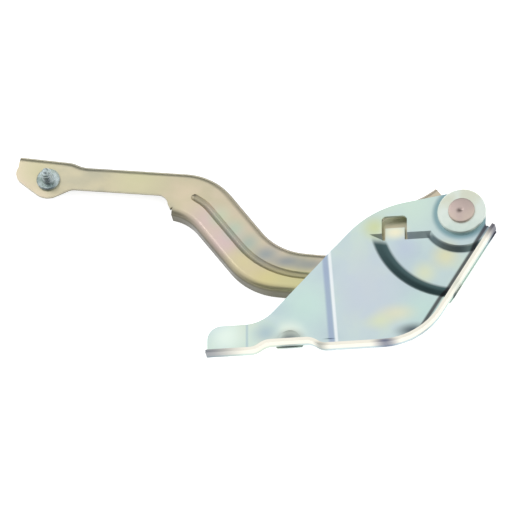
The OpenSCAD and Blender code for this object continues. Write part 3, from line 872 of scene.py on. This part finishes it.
@dataclass
class Studio:
    """A pale table behind the hinge, soft light all round and the camera."""

    azimuth: float = 8.0
    elevation: float = -26.0
    field_w: float = 382 * MM
    lens: float = 1200.0
    aim_right: float = -153.7 * MM
    aim_up: float = -32.5 * MM
    web_y: float = 6.0 * MM
    table_gap: float = 1.0 * MM
    table_half: float = 1.6
    table_colour: Colour = (0.8, 0.8, 0.8, 1.0)

    def world(self) -> None:
        """Lights the hinge from a room that is bright round its sides and darker overhead and underfoot."""
        world = bpy.data.worlds.new("studio")
        bpy.context.scene.world = world
        world.use_nodes = True
        world.node_tree.nodes.clear()
        graph = Graph(world.node_tree)
        way = graph.add("ShaderNodeTexCoord").outputs["Generated"]
        rise = graph.add("ShaderNodeSeparateXYZ", {0: way}).outputs["Z"]
        share = graph.add("ShaderNodeMapRange", {"Value": rise, "From Min": -1.0, "From Max": 1.0}).outputs[0]
        room = graph.ramp(share, ((0.0, (0.1, 0.11, 0.12, 1)), (0.16, (0.3, 0.31, 0.33, 1)),
                                  (0.34, (0.95, 0.95, 0.95, 1)), (0.8, (1.0, 1.0, 1.0, 1)),
                                  (0.9, (0.42, 0.45, 0.46, 1)), (1.0, (0.1, 0.12, 0.12, 1))))
        seen = graph.add("ShaderNodeBackground", {"Color": (1, 1, 1, 1), "Strength": 1.0})
        light = graph.add("ShaderNodeBackground", {"Color": room, "Strength": 1.0})
        path = graph.add("ShaderNodeLightPath")
        mirror = graph.maths("MAXIMUM", path.outputs["Is Glossy Ray"], path.outputs["Is Transmission Ray"])
        away = graph.add("ShaderNodeTexCoord").outputs["Generated"]
        behind = graph.step(graph.add("ShaderNodeSeparateXYZ", {0: away}).outputs["Y"], 0.0, 0.2)
        eye = graph.maths("MAXIMUM", path.outputs["Is Camera Ray"], graph.maths("MULTIPLY", mirror, behind))
        both = graph.add("ShaderNodeMixShader", {0: eye, 1: light.outputs[0], 2: seen.outputs[0]})
        graph.add("ShaderNodeOutputWorld", {"Surface": both.outputs[0]})

    def table(self) -> None:
        """Lays a pale table behind the hinge, which shows from its front only."""
        low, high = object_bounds()
        y = high.y + self.table_gap
        middle = (low + high) / 2
        half = self.table_half
        corners = np.array([[-half, 0, -half], [half, 0, -half], [half, 0, half], [-half, 0, half]])
        corners = corners + np.array([middle.x, y, middle.z])
        mesh = bpy.data.meshes.new("table")
        mesh.from_pydata(corners.tolist(), [], [(0, 1, 2, 3)])
        material = bpy.data.materials.new("table")
        material.use_nodes = True
        material.node_tree.nodes.clear()
        graph = Graph(material.node_tree)
        matt = graph.add("ShaderNodeBsdfDiffuse", {"Color": self.table_colour})
        glow = graph.add("ShaderNodeEmission", {"Color": (1, 1, 1, 1), "Strength": 0.75})
        lit = graph.add("ShaderNodeAddShader", {0: matt.outputs[0], 1: glow.outputs[0]})
        path = graph.add("ShaderNodeLightPath")
        mirror = graph.maths("MAXIMUM", path.outputs["Is Glossy Ray"], path.outputs["Is Transmission Ray"])
        eye = graph.maths("MAXIMUM", path.outputs["Is Camera Ray"], mirror)
        front = graph.add("ShaderNodeMixShader", {0: eye, 1: matt.outputs[0], 2: lit.outputs[0]})
        clear = graph.add("ShaderNodeBsdfTransparent")
        behind = graph.add("ShaderNodeNewGeometry").outputs["Backfacing"]
        side = graph.add("ShaderNodeMixShader", {0: behind, 1: front.outputs[0], 2: clear.outputs[0]})
        graph.add("ShaderNodeOutputMaterial", {"Surface": side.outputs[0]})
        add_object("table", mesh, material)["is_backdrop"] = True

    def lamp(self, name: str, at: Vec3, size: float, power: float, target: Vector) -> None:
        """Adds a square area lamp that points at the target."""
        data = bpy.data.lights.new(name, "AREA")
        data.size = size
        data.energy = power
        made = bpy.data.objects.new(name, data)
        made.location = at
        made.rotation_euler = (target - Vector(at)).to_track_quat("-Z", "Y").to_euler()
        bpy.context.scene.collection.objects.link(made)

    def camera(self) -> Vector:
        """Sets up the camera at the photograph's viewing angle and gives the point that it looks at."""
        turn = math.radians(self.azimuth)
        tilt = math.radians(self.elevation)
        back = Vector((math.sin(turn) * math.cos(tilt), -math.cos(turn) * math.cos(tilt), math.sin(tilt)))
        right = Vector((math.cos(turn), math.sin(turn), 0))
        up = back.cross(right)
        aim = Vector((PIVOT[0], self.web_y, PIVOT[2])) + right * self.aim_right + up * self.aim_up
        data = bpy.data.cameras.new("camera")
        data.lens = self.lens
        distance = self.field_w * data.lens / data.sensor_width
        data.clip_start = 0.1
        data.clip_end = 4 * distance
        made = bpy.data.objects.new("camera", data)
        made.location = aim + back * distance
        made.rotation_euler = (-back).to_track_quat("-Z", "Y").to_euler()
        bpy.context.scene.collection.objects.link(made)
        bpy.context.scene.camera = made
        return aim

    def build(self) -> None:
        """Builds the world, the table, the lamps and the camera."""
        self.world()
        self.table()
        aim = self.camera()
        self.lamp("key", (aim.x - 0.7, aim.y - 1.1, aim.z + 0.7), 0.5, 2.2, aim)
        self.lamp("fill", (aim.x + 0.9, aim.y - 1.0, aim.z - 0.2), 0.7, 1.0, aim)


def main() -> None:
    """Builds the hinge's pieces, dresses them, lights them and logs their face counts."""
    logging.basicConfig(level=logging.INFO, format="%(name)s: %(message)s")
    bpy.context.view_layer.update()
    bpy.context.scene.view_settings.view_transform = "Standard"
    groups = Groups()
    parts = (
        BracketSheet("body_bracket", "bracket_shell", Body.BRACKET, PLATED),
        ArmSheet("hood_arm", "arm_shell", Body.ARM, PASSIVATED),
        ThreadedStud(),
        CrownedRivet(),
    )
    for part in parts:
        made = part.build(groups)
        LOG.info("built %s with %d faces", made.name, len(made.data.polygons))
    PivotStack().dress(groups)
    Studio().build()


if __name__ == "__main__":
    main()
